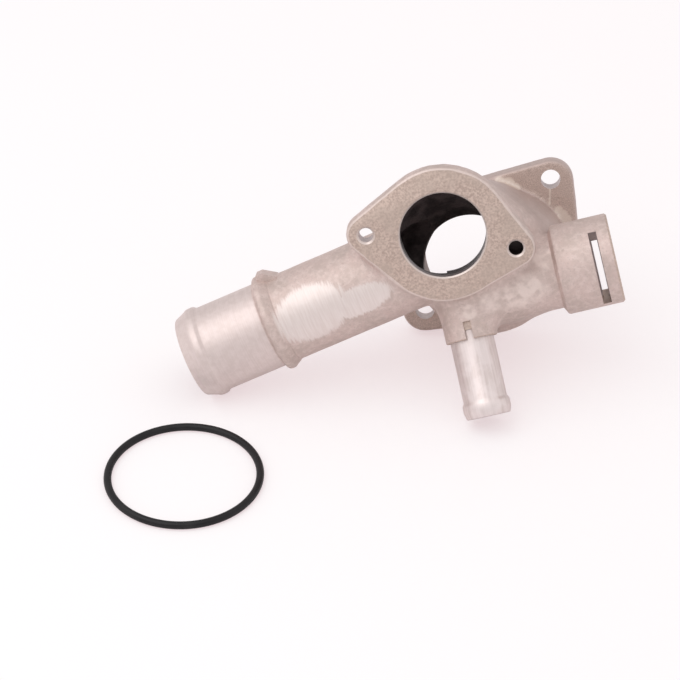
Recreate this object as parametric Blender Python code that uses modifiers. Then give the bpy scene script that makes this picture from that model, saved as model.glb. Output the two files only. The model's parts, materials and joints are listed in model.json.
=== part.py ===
"""Cast aluminium thermostat housing with its pressed-in bypass tube and its loose sealing ring.

The casting is drawn in its own frame: the mating face is the plane z = 0, the body stands on the
origin, and the outlet flange faces +z. At the end the part is laid on a table (z = 0), on the three
points that it rests on. Sizes below are in millimetres; shapes are built in metres.
"""

import math

import bmesh
import bpy
from mathutils import Matrix, Vector

MM = 0.001

# Sealing ring, and its seat in the mating face
RING_R = 31.0
RING_SECTION = 3.2
RING_SQUEEZE = 1.1
GROOVE_WIDTH = 3.3
GROOVE_DEPTH = 2.4

# Mating flange, bolted to the engine
MATING_CENTRE = (0.3, -0.8)
MATING_PLATE = 9.0
MATING_LAND = 0.6
MATING_BORE_R = 27.2
MATING_CHAMBER_DEPTH = 30.0
MATING_HOLE_R = 4.2
MATING_HOLE_UPPER = (26.6, 32.4)
MATING_HOLE_LOWER = (-26.6, -26.5)
MATING_LOBE_R = 9.8
UPPER_LOBE_OFFSET = (0.3, -1.6)
MATING_SHOULDER = (28.5, 0.0)
MATING_SHOULDER_R = 12.0
PLATE_EDGE = 0.9
BOLT_HEAD_CLEARANCE = 6.0

# Outlet flange, with its two threaded holes
OUTLET_CENTRE = (-18.8, 22.2)
OUTLET_FACE_Z = 70.0
OUTLET_PLATE = 8.6
OUTLET_DISC_R = 28.3
OUTLET_BORE_R = 17.6
OUTLET_BORE_CHAMFER = 1.0
OUTLET_BORE_DEPTH = 10.1
OUTLET_HOLE_R = 3.0
OUTLET_HOLE_CHAMFER = 0.8
OUTLET_HOLE_DEPTH = 14.6
OUTLET_HOLE_LEFT = (-31.4, -0.5)
OUTLET_HOLE_RIGHT = (29.8, -5.0)
OUTLET_LOBE_R = 8.2
OUTLET_NECK_R = 24.4
OUTLET_NECK_FOOT = 58.0

# Body between the two flanges, and the port through its inner floor
BODY_DRUM_R = 30.2
BODY_DRUM_TOP = 33.0
BODY_SIDE_CENTRE = (7.0, 0.0)
BODY_SIDE_R = 28.0
FLOOR = 5.0
PORT_CENTRE = (-7.0, 2.3)
PORT_R = 20.3
PORT_LEDGE = 0.5
GALLERY_TOP_R = 20.6
BODY_SIDE_FOOT = 3.0
BODY_SIDE_TOP = 29.0
BODY_SIDE_TOP_R = 27.0

# Hose pipe: its axis runs from ROOT along DIRECTION to the mouth
PIPE_ROOT = (-48.95, -3.07, 49.9)
PIPE_DIRECTION = (-0.9125, -0.4081, 0.0282)
PIPE_MOUTH = 82.5
PIPE_R = 18.5
PIPE_BORE_R = 15.4
PIPE_MOUTH_R = 17.2
BEAD_R = 19.6
BEAD_TAPER = 6.0
BEAD_FLAT = 3.0
BEAD_END = 11.0
BEAD_EDGE = 0.6
COLLAR_R = 20.8
COLLAR_START = 36.5
COLLAR_WIDTH = 6.5
COLLAR_EDGE = 1.0
COLLAR_TAB_RISE = 1.2
COLLAR_TAB_START = 3.6
COLLAR_TAB_LENGTH = 7.4
COLLAR_TAB_CREST = 2.2
COLLAR_TAB_R = 1.0
COLLAR_TAB_WIDTH = 9.0
COLLAR_TAB_TURN = 2.0
PIPE_INWARD = 36.0
PIPE_END_WALL = 4.0

# Sensor socket with its clip slot
SOCKET_MOUTH = (53.0, 7.9, 46.0)
SOCKET_DIRECTION = (0.9688, 0.2478, 0.0)
SOCKET_R = 18.9
SOCKET_LENGTH = 24.5
SOCKET_BORE_R = 15.0
SOCKET_BORE_DEPTH = 22.0
SOCKET_NECK_R = 15.8
SOCKET_NECK_BORE_R = 12.5
SOCKET_NECK_END = 52.0
SOCKET_SHOULDER = 2.5
SOCKET_FLARE_START = 32.0
SOCKET_FLARE_END = 49.0
SOCKET_FLARE = 1.0
CLIP_SLOT_WIDTH = 3.5
CLIP_SLOT_LENGTH = 31.0
CLIP_SLOT_FROM_MOUTH = 7.3

# Boss and the tube pressed into it
BOSS_MOUTH = (-6.17, -25.28, 58.04)
BOSS_DIRECTION = (0.232, -0.9275, 0.3191)
BOSS_R = 11.0
BOSS_LENGTH = 27.0
BOSS_STRAIGHT = 8.0
BOSS_FLARE = 2.5
BOSS_SEAT_DEPTH = 11.0
BOSS_SLOT_WIDTH = 3.2
BOSS_SLOT_LENGTH = 7.5
BOSS_SLOT_CLEAR = 1.5
BYPASS_BORE_OVERRUN = 6.0
TUBE_R = 9.2
TUBE_WALL = 1.3
TUBE_REACH = 32.6
TUBE_BEAD = 0.8
TUBE_BEAD_LENGTH = 7.0
TUBE_BEAD_TAPER = 2.4
TUBE_BEAD_EDGE = 0.6
FIT_GAP = 0.3

# Web between the boss and the body: depth behind the boss's mouth, shift to the socket, radius
BOSS_WEB = ((2.5, 2.0, 8.0), (13.0, 11.0, 10.0), (20.0, 4.0, 14.0))

# Rest on the table: the first guess of the upward direction, and the turn about it
REST_UP = (0.0, 0.93, 0.36)
REST_HEADING = 3.26
REST_TRIES = 12
RING_FROM_HOUSING = (-127.8, -115.6)

# Edges of lips, facets of round shapes, and how far a cutter starts outside the metal
LIP_EDGE = 0.8
ROUND_STEPS = 56
SMALL_STEPS = 32
RING_STEPS = 72
RING_SECTION_STEPS = 12
SHARP_ANGLE = 35
CLEAR = 1.0
WELD = 0.00001
UP = (0, 0, 1)


def vec(point):
    return Vector(point) * MM


def scene_collection(name):
    collection = bpy.data.collections.new(name)
    bpy.context.scene.collection.children.link(collection)
    return collection


def material(name, colour, metallic, roughness):
    made = bpy.data.materials.new(name)
    made.use_nodes = True
    shader = made.node_tree.nodes["Principled BSDF"]
    shader.inputs["Base Color"].default_value = (*colour, 1.0)
    shader.inputs["Metallic"].default_value = metallic
    shader.inputs["Roughness"].default_value = roughness
    return made


def frame_along(origin, direction):
    """Matrix that puts +z of a shape along direction, at origin (millimetres)."""
    turn = Vector(direction).normalized().to_track_quat("Z", "Y").to_matrix().to_4x4()
    return Matrix.Translation(vec(origin)) @ turn


def guide(name, mesh, collection, placing=None):
    """A lump or a cutter: it shapes the casting and isn't a part itself."""
    made = bpy.data.objects.new(name, mesh)
    made.hide_render = True
    made.display_type = "WIRE"
    if placing is not None:
        made.matrix_world = placing
    collection.objects.link(made)
    return made


def baked(source, name):
    """The evaluated mesh of source, closed at its caps and facing out; source is removed."""
    bpy.context.view_layer.update()
    evaluated = source.evaluated_get(bpy.context.evaluated_depsgraph_get())
    mesh = bpy.data.meshes.new_from_object(evaluated)
    mesh.name = name
    bpy.data.objects.remove(source)
    shape = bmesh.new()
    shape.from_mesh(mesh)
    bmesh.ops.remove_doubles(shape, verts=shape.verts, dist=WELD)
    bmesh.ops.recalc_face_normals(shape, faces=shape.faces)
    shape.to_mesh(mesh)
    shape.free()
    return mesh


def turned_mesh(name, profile, steps):
    """Solid of revolution about z. The profile's (radius, height) points run top to bottom."""
    mesh = bpy.data.meshes.new(name)
    points = [(radius * MM, 0.0, height * MM) for radius, height in profile]
    edges = [(i, i + 1) for i in range(len(points) - 1)]
    if profile[0][0] > 0:
        edges.append((len(points) - 1, 0))
    mesh.from_pydata(points, edges, [])
    source = bpy.data.objects.new(name, mesh)
    bpy.context.scene.collection.objects.link(source)
    screw = source.modifiers.new("turn", "SCREW")
    screw.axis = "Z"
    screw.steps = steps
    screw.render_steps = steps
    screw.use_merge_vertices = True
    screw.merge_threshold = WELD
    return baked(source, name)


def rod_mesh(name, radius, bottom, top, steps=ROUND_STEPS):
    return turned_mesh(name, [(0, top), (radius, top), (radius, bottom), (0, bottom)], steps)


def hull_mesh(name, rings):
    """Convex body over rings, each (centre, axis, radius)."""
    shape = bmesh.new()
    for centre, axis, radius in rings:
        placing = frame_along(centre, axis)
        bmesh.ops.create_circle(
            shape, cap_ends=False, radius=radius * MM, segments=ROUND_STEPS, matrix=placing
        )
    hull = bmesh.ops.convex_hull(shape, input=shape.verts)
    spare = [v for v in hull["geom_interior"] if isinstance(v, bmesh.types.BMVert)]
    bmesh.ops.delete(shape, geom=spare, context="VERTS")
    bmesh.ops.recalc_face_normals(shape, faces=shape.faces)
    mesh = bpy.data.meshes.new(name)
    shape.to_mesh(mesh)
    shape.free()
    return mesh


def belt(circles, arc_step=7.5):
    """Outline of a belt drawn round circles (x, y, radius), given anticlockwise."""
    points = []
    count = len(circles)
    normals = []
    for i in range(count):
        x0, y0, r0 = circles[i]
        x1, y1, r1 = circles[(i + 1) % count]
        away = math.hypot(x1 - x0, y1 - y0)
        along = math.atan2(y1 - y0, x1 - x0)
        normals.append(along - math.pi / 2 + math.asin((r1 - r0) / away) * -1)
    for i in range(count):
        x, y, radius = circles[i]
        first = normals[i - 1]
        last = normals[i]
        while last < first:
            last += 2 * math.pi
        parts = max(1, round(math.degrees(last - first) / arc_step))
        for k in range(parts + 1):
            angle = first + (last - first) * k / parts
            points.append((x + radius * math.cos(angle), y + radius * math.sin(angle)))
    return points


def plate_mesh(name, outline, bottom, top, rounding):
    """Flat plate on an outline, with its edges rounded."""
    curve = bpy.data.curves.new(name, "CURVE")
    curve.dimensions = "2D"
    curve.fill_mode = "BOTH"
    curve.extrude = ((top - bottom) / 2 - rounding) * MM
    curve.bevel_depth = rounding * MM
    curve.bevel_resolution = 1
    curve.offset = -rounding * MM
    spline = curve.splines.new("POLY")
    spline.points.add(len(outline) - 1)
    for point, (x, y) in zip(spline.points, outline):
        point.co = (x * MM, y * MM, 0.0, 1.0)
    spline.use_cyclic_u = True
    source = bpy.data.objects.new(name, curve)
    bpy.context.scene.collection.objects.link(source)
    mesh = baked(source, name)
    mesh.transform(Matrix.Translation((0, 0, (top + bottom) / 2 * MM)))
    return mesh


def box_mesh(name, size):
    shape = bmesh.new()
    bmesh.ops.create_cube(shape, size=1.0, matrix=Matrix.Diagonal((*vec(size), 1.0)))
    mesh = bpy.data.meshes.new(name)
    shape.to_mesh(mesh)
    shape.free()
    return mesh


def groove_radius():
    """The ring is a little larger than its groove, so that it holds itself in."""
    return RING_R - RING_SQUEEZE


def mating_outline():
    disc = (*MATING_CENTRE, groove_radius() + GROOVE_WIDTH / 2 + MATING_LAND)
    upper = (
        MATING_HOLE_UPPER[0] + UPPER_LOBE_OFFSET[0],
        MATING_HOLE_UPPER[1] + UPPER_LOBE_OFFSET[1],
        MATING_LOBE_R,
    )
    lower = (*MATING_HOLE_LOWER, MATING_LOBE_R)
    return belt([lower, disc, (*MATING_SHOULDER, MATING_SHOULDER_R), upper, disc])


def outlet_hole(offset):
    return (OUTLET_CENTRE[0] + offset[0], OUTLET_CENTRE[1] + offset[1])


def outlet_outline():
    disc = (*OUTLET_CENTRE, OUTLET_DISC_R)
    left = (*outlet_hole(OUTLET_HOLE_LEFT), OUTLET_LOBE_R)
    right = (*outlet_hole(OUTLET_HOLE_RIGHT), OUTLET_LOBE_R)
    return belt([left, disc, right, disc])


def pipe_profile():
    """Hose pipe from its mouth (top of the profile) inwards, with the hose bead and the collar."""
    end = -(PIPE_MOUTH + PIPE_INWARD)
    bead_back = BEAD_TAPER + BEAD_FLAT
    collar_back = COLLAR_START + COLLAR_WIDTH
    return [
        (0, 0),
        (PIPE_MOUTH_R - LIP_EDGE, 0),
        (PIPE_MOUTH_R, -LIP_EDGE),
        (BEAD_R - BEAD_EDGE, -BEAD_TAPER + 2 * BEAD_EDGE),
        (BEAD_R, -BEAD_TAPER),
        (BEAD_R, -bead_back),
        (BEAD_R - BEAD_EDGE, -bead_back - BEAD_EDGE),
        (PIPE_R, -BEAD_END),
        (PIPE_R, -COLLAR_START),
        (COLLAR_R - COLLAR_EDGE / 2, -COLLAR_START - COLLAR_EDGE / 4),
        (COLLAR_R, -COLLAR_START - COLLAR_EDGE),
        (COLLAR_R, -collar_back + 2 * COLLAR_EDGE),
        (COLLAR_R - COLLAR_EDGE, -collar_back + COLLAR_EDGE),
        (PIPE_R, -collar_back),
        (PIPE_R, end),
        (0, end),
    ]


def socket_profile():
    """Sensor socket from its mouth inwards, with the shoulder behind the sleeve and the neck."""
    return [
        (0, 0),
        (SOCKET_R - LIP_EDGE, 0),
        (SOCKET_R, -LIP_EDGE),
        (SOCKET_R, -SOCKET_LENGTH + LIP_EDGE),
        (SOCKET_R - LIP_EDGE, -SOCKET_LENGTH),
        (SOCKET_NECK_R, -SOCKET_LENGTH - SOCKET_SHOULDER),
        (SOCKET_NECK_R, -SOCKET_NECK_END),
        (0, -SOCKET_NECK_END),
    ]


def boss_profile():
    return [
        (0, 0),
        (BOSS_R - LIP_EDGE, 0),
        (BOSS_R, -LIP_EDGE),
        (BOSS_R, -BOSS_STRAIGHT),
        (BOSS_R + BOSS_FLARE, -BOSS_LENGTH),
        (0, -BOSS_LENGTH),
    ]


def socket_point(depth):
    """Point on the socket's axis, at a depth behind its mouth."""
    return tuple(Vector(SOCKET_MOUTH) - Vector(SOCKET_DIRECTION).normalized() * depth)


def boss_point(depth, aside):
    """Point at a depth behind the boss's mouth, moved aside towards the socket."""
    inward = Vector(BOSS_MOUTH) - Vector(BOSS_DIRECTION).normalized() * depth
    return tuple(inward + Vector((aside, 0, 0)))


def body_rings():
    """The drum on the mating flange, drawn over to the neck under the outlet flange."""
    neck_top = OUTLET_FACE_Z - OUTLET_PLATE / 2
    return [
        ((0, 0, MATING_PLATE / 2), UP, BODY_DRUM_R),
        ((0, 0, BODY_DRUM_TOP), UP, BODY_DRUM_R),
        ((*OUTLET_CENTRE, OUTLET_NECK_FOOT), UP, OUTLET_NECK_R),
        ((*OUTLET_CENTRE, neck_top), UP, OUTLET_NECK_R),
    ]


def side_rings():
    """The flare that carries the drum over to the sensor socket."""
    return [
        ((*BODY_SIDE_CENTRE, BODY_SIDE_FOOT), UP, BODY_SIDE_R),
        ((*BODY_SIDE_CENTRE, BODY_SIDE_TOP), UP, BODY_SIDE_TOP_R),
        (socket_point(SOCKET_FLARE_START), SOCKET_DIRECTION, SOCKET_NECK_R - SOCKET_FLARE / 5),
        (socket_point(SOCKET_FLARE_END), SOCKET_DIRECTION, SOCKET_NECK_R + SOCKET_FLARE),
    ]


def web_rings():
    """The web between the boss and the body, on the socket's side."""
    return [(boss_point(depth, aside), BOSS_DIRECTION, radius) for depth, aside, radius in BOSS_WEB]


def collar_tab_rings():
    """The wedge behind the collar, where the parting line crosses it."""
    axis = Vector(PIPE_DIRECTION).normalized()
    outward = Matrix.Rotation(math.radians(COLLAR_TAB_TURN), 3, axis) @ Vector(UP).cross(axis)
    outward.normalize()
    if outward.y < 0:
        outward.negate()
    tangent = axis.cross(outward)
    start = Vector(pipe_mouth()) - axis * (COLLAR_START + COLLAR_TAB_START)
    buried = outward * (PIPE_R - COLLAR_TAB_R)
    raised = outward * (COLLAR_R + COLLAR_TAB_RISE - COLLAR_TAB_R)
    front = start + raised
    crest = start - axis * COLLAR_TAB_CREST + raised
    foot = start - axis * COLLAR_TAB_LENGTH + buried
    root = start + buried
    return [
        (tuple(point + tangent * aside), tangent, COLLAR_TAB_R)
        for point in (front, crest, foot, root)
        for aside in (-COLLAR_TAB_WIDTH / 2, COLLAR_TAB_WIDTH / 2)
    ]


def add_lumps(lumps):
    """Everything that is cast metal, before the bores are cut."""
    outlet_bottom = OUTLET_FACE_Z - OUTLET_PLATE

    def cast(name, mesh, placing=None):
        guide(name, mesh, lumps, placing)

    cast("body_lump", hull_mesh("body_lump", body_rings()))
    cast("side_lump", hull_mesh("side_lump", side_rings()))
    cast("web_lump", hull_mesh("web_lump", web_rings()))
    cast("collar_tab_lump", hull_mesh("collar_tab_lump", collar_tab_rings()))
    cast(
        "outlet_plate_lump",
        plate_mesh("outlet_plate_lump", outlet_outline(), outlet_bottom, OUTLET_FACE_Z, PLATE_EDGE),
    )
    cast(
        "pipe_lump",
        turned_mesh("pipe_lump", pipe_profile(), ROUND_STEPS),
        frame_along(pipe_mouth(), PIPE_DIRECTION),
    )
    cast(
        "socket_lump",
        turned_mesh("socket_lump", socket_profile(), ROUND_STEPS),
        frame_along(SOCKET_MOUTH, SOCKET_DIRECTION),
    )
    cast(
        "boss_lump",
        turned_mesh("boss_lump", boss_profile(), SMALL_STEPS),
        frame_along(BOSS_MOUTH, BOSS_DIRECTION),
    )


def pipe_mouth():
    root = Vector(PIPE_ROOT)
    return tuple(root + Vector(PIPE_DIRECTION).normalized() * PIPE_MOUTH)


def add_cutters(cutters):
    """The bores, the holes, the groove and the slots."""
    floor_top = MATING_CHAMBER_DEPTH + FLOOR
    bore_bottom = OUTLET_FACE_Z - OUTLET_BORE_DEPTH
    mating = Matrix.Translation(vec((*MATING_CENTRE, 0)))

    def cut(name, mesh, placing=None):
        guide(name, mesh, cutters, placing)

    cut("chamber_cut", rod_mesh("chamber_cut", MATING_BORE_R, -CLEAR, MATING_CHAMBER_DEPTH), mating)
    cut(
        "port_cut",
        rod_mesh("port_cut", PORT_R, MATING_CHAMBER_DEPTH - CLEAR, floor_top + CLEAR),
        Matrix.Translation(vec((*PORT_CENTRE, 0))),
    )
    cut(
        "gallery_cut",
        hull_mesh(
            "gallery_cut",
            [
                ((*PORT_CENTRE, floor_top), UP, PORT_R + PORT_LEDGE),
                ((*OUTLET_CENTRE, bore_bottom), UP, GALLERY_TOP_R),
            ],
        ),
    )
    chamfer = OUTLET_BORE_CHAMFER
    cut(
        "outlet_bore_cut",
        turned_mesh(
            "outlet_bore_cut",
            [
                (0, OUTLET_FACE_Z + CLEAR),
                (OUTLET_BORE_R + chamfer, OUTLET_FACE_Z + CLEAR),
                (OUTLET_BORE_R + chamfer, OUTLET_FACE_Z),
                (OUTLET_BORE_R, OUTLET_FACE_Z - chamfer),
                (OUTLET_BORE_R, bore_bottom - CLEAR),
                (0, bore_bottom - CLEAR),
            ],
            ROUND_STEPS,
        ),
        Matrix.Translation(vec((*OUTLET_CENTRE, 0))),
    )
    hole_mouth = OUTLET_HOLE_R + OUTLET_HOLE_CHAMFER
    for side, offset in (("left", OUTLET_HOLE_LEFT), ("right", OUTLET_HOLE_RIGHT)):
        hole = "outlet_hole_" + side + "_cut"
        profile = [
            (0, OUTLET_FACE_Z + CLEAR),
            (hole_mouth, OUTLET_FACE_Z + CLEAR),
            (hole_mouth, OUTLET_FACE_Z),
            (OUTLET_HOLE_R, OUTLET_FACE_Z - OUTLET_HOLE_CHAMFER),
            (OUTLET_HOLE_R, OUTLET_FACE_Z - OUTLET_HOLE_DEPTH),
            (0, OUTLET_FACE_Z - OUTLET_HOLE_DEPTH),
        ]
        place = Matrix.Translation(vec((*outlet_hole(offset), 0)))
        cut(hole, turned_mesh(hole, profile, SMALL_STEPS), place)
    for side, place in (("upper", MATING_HOLE_UPPER), ("lower", MATING_HOLE_LOWER)):
        hole = "mating_hole_" + side + "_cut"
        cut(
            hole,
            rod_mesh(hole, MATING_HOLE_R, -CLEAR, MATING_PLATE + BOLT_HEAD_CLEARANCE, SMALL_STEPS),
            Matrix.Translation(vec((*place, 0))),
        )
    cut(
        "groove_cut",
        turned_mesh(
            "groove_cut",
            [
                (groove_radius() + GROOVE_WIDTH / 2, GROOVE_DEPTH),
                (groove_radius() + GROOVE_WIDTH / 2, -CLEAR),
                (groove_radius() - GROOVE_WIDTH / 2, -CLEAR),
                (groove_radius() - GROOVE_WIDTH / 2, GROOVE_DEPTH),
            ],
            ROUND_STEPS,
        ),
        mating,
    )
    cut(
        "pipe_bore_cut",
        rod_mesh("pipe_bore_cut", PIPE_BORE_R, -PIPE_MOUTH - PIPE_INWARD + PIPE_END_WALL, CLEAR),
        frame_along(pipe_mouth(), PIPE_DIRECTION),
    )
    cut(
        "socket_bore_cut",
        rod_mesh("socket_bore_cut", SOCKET_BORE_R, -SOCKET_BORE_DEPTH, CLEAR),
        frame_along(SOCKET_MOUTH, SOCKET_DIRECTION),
    )
    neck_cut_end = -SOCKET_NECK_END - 3 * CLEAR
    cut(
        "socket_neck_cut",
        rod_mesh("socket_neck_cut", SOCKET_NECK_BORE_R, neck_cut_end, -SOCKET_BORE_DEPTH + CLEAR),
        frame_along(SOCKET_MOUTH, SOCKET_DIRECTION),
    )
    along = Vector(SOCKET_DIRECTION).normalized()
    cut(
        "clip_slot_cut",
        box_mesh("clip_slot_cut", (CLIP_SLOT_WIDTH, CLIP_SLOT_LENGTH, 2 * (SOCKET_R + 2 * CLEAR))),
        Matrix.Translation(vec(socket_point(CLIP_SLOT_FROM_MOUTH)))
        @ Matrix.Rotation(math.atan2(along.y, along.x), 4, "Z"),
    )
    cut(
        "tube_seat_cut",
        rod_mesh("tube_seat_cut", TUBE_R + FIT_GAP, -BOSS_SEAT_DEPTH, CLEAR, SMALL_STEPS),
        frame_along(BOSS_MOUTH, BOSS_DIRECTION),
    )
    bypass_end = -BOSS_LENGTH - BYPASS_BORE_OVERRUN
    cut(
        "bypass_bore_cut",
        rod_mesh("bypass_bore_cut", TUBE_R - TUBE_WALL, bypass_end, CLEAR, SMALL_STEPS),
        frame_along(BOSS_MOUTH, BOSS_DIRECTION),
    )
    boss_frame = frame_along(BOSS_MOUTH, BOSS_DIRECTION)
    outward = boss_frame.to_3x3().inverted() @ Vector((0, 0, 1))
    side = math.atan2(outward.y, outward.x)
    slot_depth = BOSS_R - TUBE_R + BOSS_SLOT_CLEAR
    cut(
        "boss_slot_cut",
        box_mesh("boss_slot_cut", (slot_depth, BOSS_SLOT_WIDTH, BOSS_SLOT_LENGTH * 2)),
        boss_frame
        @ Matrix.Rotation(side, 4, "Z")
        @ Matrix.Translation(vec((TUBE_R + slot_depth / 2, 0, 0))),
    )


def housing(parts, lumps, cutters, metal):
    mesh = plate_mesh("housing", mating_outline(), 0.0, MATING_PLATE, PLATE_EDGE)
    made = bpy.data.objects.new("housing", mesh)
    parts.objects.link(made)
    made.data.materials.append(metal)
    add_lumps(lumps)
    join = made.modifiers.new("join_lumps", "BOOLEAN")
    join.operation = "UNION"
    join.solver = "EXACT"
    join.operand_type = "COLLECTION"
    join.collection = lumps
    add_cutters(cutters)
    drill = made.modifiers.new("cut_bores", "BOOLEAN")
    drill.operation = "DIFFERENCE"
    drill.solver = "EXACT"
    drill.operand_type = "COLLECTION"
    drill.collection = cutters
    return made


def bypass_tube(parts, metal):
    """Steel tube: its inner end stands on the seat in the boss, its outer end carries the bead."""
    inner = TUBE_R - TUBE_WALL
    start = -(BOSS_SEAT_DEPTH - FIT_GAP)
    bead_start = TUBE_REACH - TUBE_BEAD_LENGTH
    bead = TUBE_R + TUBE_BEAD
    profile = [
        (inner, TUBE_REACH),
        (TUBE_R, TUBE_REACH),
        (bead, TUBE_REACH - TUBE_BEAD_TAPER),
        (bead, bead_start + 2 * TUBE_BEAD_EDGE),
        (bead - TUBE_BEAD_EDGE / 2, bead_start + TUBE_BEAD_EDGE),
        (TUBE_R, bead_start),
        (TUBE_R, start),
        (inner, start),
    ]
    mesh = turned_mesh("bypass_tube", profile, SMALL_STEPS)
    made = bpy.data.objects.new("bypass_tube", mesh)
    made.matrix_world = frame_along(BOSS_MOUTH, BOSS_DIRECTION)
    made.data.materials.append(metal)
    parts.objects.link(made)
    return made


def sealing_ring(parts, rubber):
    bpy.ops.mesh.primitive_torus_add(
        major_radius=RING_R * MM,
        minor_radius=RING_SECTION / 2 * MM,
        major_segments=RING_STEPS,
        minor_segments=RING_SECTION_STEPS,
    )
    made = bpy.context.object
    made.name = "sealing_ring"
    for collection in list(made.users_collection):
        collection.objects.unlink(made)
    parts.objects.link(made)
    made.data.materials.append(rubber)
    return made


def world_points(made):
    bpy.context.view_layer.update()
    evaluated = made.evaluated_get(bpy.context.evaluated_depsgraph_get())
    return [evaluated.matrix_world @ v.co for v in evaluated.data.vertices]


def resting_up(casting, tube):
    """Upward direction, in the casting's frame, of the table that touches three places:
    the mating flange, the bead of the hose pipe and the end of the tube."""
    flange = [p for p in casting if p.z < MATING_PLATE * MM]
    mouth = vec(pipe_mouth())
    bead = [p for p in casting if (p - mouth).length < (BEAD_R + BEAD_TAPER) * MM]
    up = Vector(REST_UP).normalized()
    for _ in range(REST_TRIES):
        feet = [min(group, key=up.dot) for group in (flange, bead, tube)]
        normal = (feet[1] - feet[0]).cross(feet[2] - feet[0]).normalized()
        up = normal if normal.dot(up) > 0 else -normal
    return up, min(casting + tube, key=up.dot).dot(up)


def lay_down(base, casting, tube):
    """Turns the empty so that the table is z = 0 and the outlet flange faces -y."""
    up, lowest = resting_up(casting, tube)
    facing = Vector((0, 0, 1))
    level = (facing - up * facing.dot(up)).normalized()
    toward = Matrix.Rotation(math.radians(REST_HEADING), 3, up) @ -level
    right = toward.cross(up)
    turn = Matrix((right, toward, up)).to_4x4()
    base.matrix_world = Matrix.Translation((0, 0, -lowest)) @ turn


def shade(made):
    made.data.shade_smooth()
    made.data.set_sharp_from_angle(angle=math.radians(SHARP_ANGLE))


def build():
    for old in list(bpy.data.objects):
        bpy.data.objects.remove(old)
    parts = scene_collection("thermostat_housing")
    lumps = scene_collection("lumps")
    cutters = scene_collection("cutters")
    cast = material("cast_aluminium", (0.62, 0.55, 0.52), 0.85, 0.45)
    steel = material("plated_steel", (0.72, 0.68, 0.66), 1.0, 0.3)
    rubber = material("black_rubber", (0.012, 0.012, 0.013), 0.0, 0.45)

    casting = housing(parts, lumps, cutters, cast)
    tube = bypass_tube(parts, steel)
    ring = sealing_ring(parts, rubber)

    base = bpy.data.objects.new("rest_pose", None)
    parts.objects.link(base)
    guides = list(lumps.objects) + list(cutters.objects)
    casting_points = world_points(casting)
    tube_points = world_points(tube)
    for made in [casting, tube] + guides:
        made.parent = base
    lay_down(base, casting_points, tube_points)

    bpy.context.view_layer.update()
    foot = base.matrix_world.translation
    ring.location = (
        foot.x + RING_FROM_HOUSING[0] * MM,
        foot.y + RING_FROM_HOUSING[1] * MM,
        RING_SECTION / 2 * MM,
    )
    placed = world_points(casting) + world_points(tube) + world_points(ring)
    middle = [(max(p[i] for p in placed) + min(p[i] for p in placed)) / 2 for i in (0, 1)]
    shift = Vector((-middle[0], -middle[1], 0.0))
    base.location += shift
    ring.location += shift
    for made in (tube, ring):
        shade(made)


build()
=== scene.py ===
import json
import math

import bmesh
import bpy
from mathutils import Matrix, Vector, noise

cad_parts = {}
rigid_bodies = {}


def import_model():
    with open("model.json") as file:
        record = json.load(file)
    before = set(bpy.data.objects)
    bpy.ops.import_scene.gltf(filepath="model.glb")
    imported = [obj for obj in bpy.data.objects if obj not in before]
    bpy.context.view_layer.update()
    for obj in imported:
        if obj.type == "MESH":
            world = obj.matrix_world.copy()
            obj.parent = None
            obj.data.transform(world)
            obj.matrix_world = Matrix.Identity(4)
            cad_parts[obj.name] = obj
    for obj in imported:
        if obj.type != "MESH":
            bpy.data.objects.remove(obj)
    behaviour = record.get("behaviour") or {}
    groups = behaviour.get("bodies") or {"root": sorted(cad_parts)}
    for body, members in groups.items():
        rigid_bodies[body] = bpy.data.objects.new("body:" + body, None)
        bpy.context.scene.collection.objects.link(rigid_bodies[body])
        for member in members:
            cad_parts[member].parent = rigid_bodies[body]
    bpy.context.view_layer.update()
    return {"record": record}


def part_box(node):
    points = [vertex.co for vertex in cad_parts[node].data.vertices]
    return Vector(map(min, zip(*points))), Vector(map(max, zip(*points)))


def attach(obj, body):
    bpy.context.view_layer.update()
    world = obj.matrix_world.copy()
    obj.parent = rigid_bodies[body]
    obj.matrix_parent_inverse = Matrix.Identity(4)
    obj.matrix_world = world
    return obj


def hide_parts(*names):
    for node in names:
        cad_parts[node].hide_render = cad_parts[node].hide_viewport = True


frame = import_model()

# Sizes are in millimetres in the casting's own frame, where the engine face is z = 0 and the outlet
# flange faces +z. Shapes are built in metres, and casting_frame() lays them on the table.
MM = 0.001

# Where the two mounts lie in the casting's own frame
ENGINE_MOUNT = (22.2, 27.1, 0.0)
OUTLET_MOUNT = (-18.8, 45.2, 70.0)

# Engine plate
PLATE_BOTTOM = -0.12
PLATE_TOP = 9.0
PLATE_CENTRE = (0.3, -0.8)
PLATE_DISC_R = 32.15
PLATE_BORE_R = 27.2
CHAMBER_DEPTH = 30.0
PLATE_HOLE_R = 4.2
PLATE_HOLES = ((26.6, 32.4), (-26.6, -26.5))
PLATE_LOBES = ((26.9, 30.8, 9.7), (-26.6, -26.5, 9.8))
PLATE_SHOULDER = (28.5, 0.0, 12.0)
GROOVE_R = 29.9
GROOVE_WIDTH = 3.3
GROOVE_DEPTH = 2.4

# Outlet flange
OUTLET_CENTRE = (-18.8, 22.2)
OUTLET_TOP = 70.0
OUTLET_PLATE = 8.6
OUTLET_DISC_R = 28.3
OUTLET_BORE_R = 17.6
OUTLET_BORE_CHAMFER = 0.6
OUTLET_HOLE_R = 3.0
OUTLET_HOLE_CHAMFER = 0.8
LEFT_HOLE_DEPTH = 14.6
RIGHT_HOLE_DEPTH = 8.0
OUTLET_LEFT = (-31.4, -0.5)
OUTLET_RIGHT = (29.8, -5.0)
OUTLET_LOBE_R = 8.2
OUTLET_NECK_R = 24.4

# Body
DRUM_R = 30.2
DRUM_TOP = 33.0
NECK_FOOT = 58.0
FLOOR_TOP = 35.0
PORT_CENTRE = (-7.0, 2.3)
PORT_R = 20.3
PORT_LEDGE = 0.5
GALLERY_R = 20.6

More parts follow.
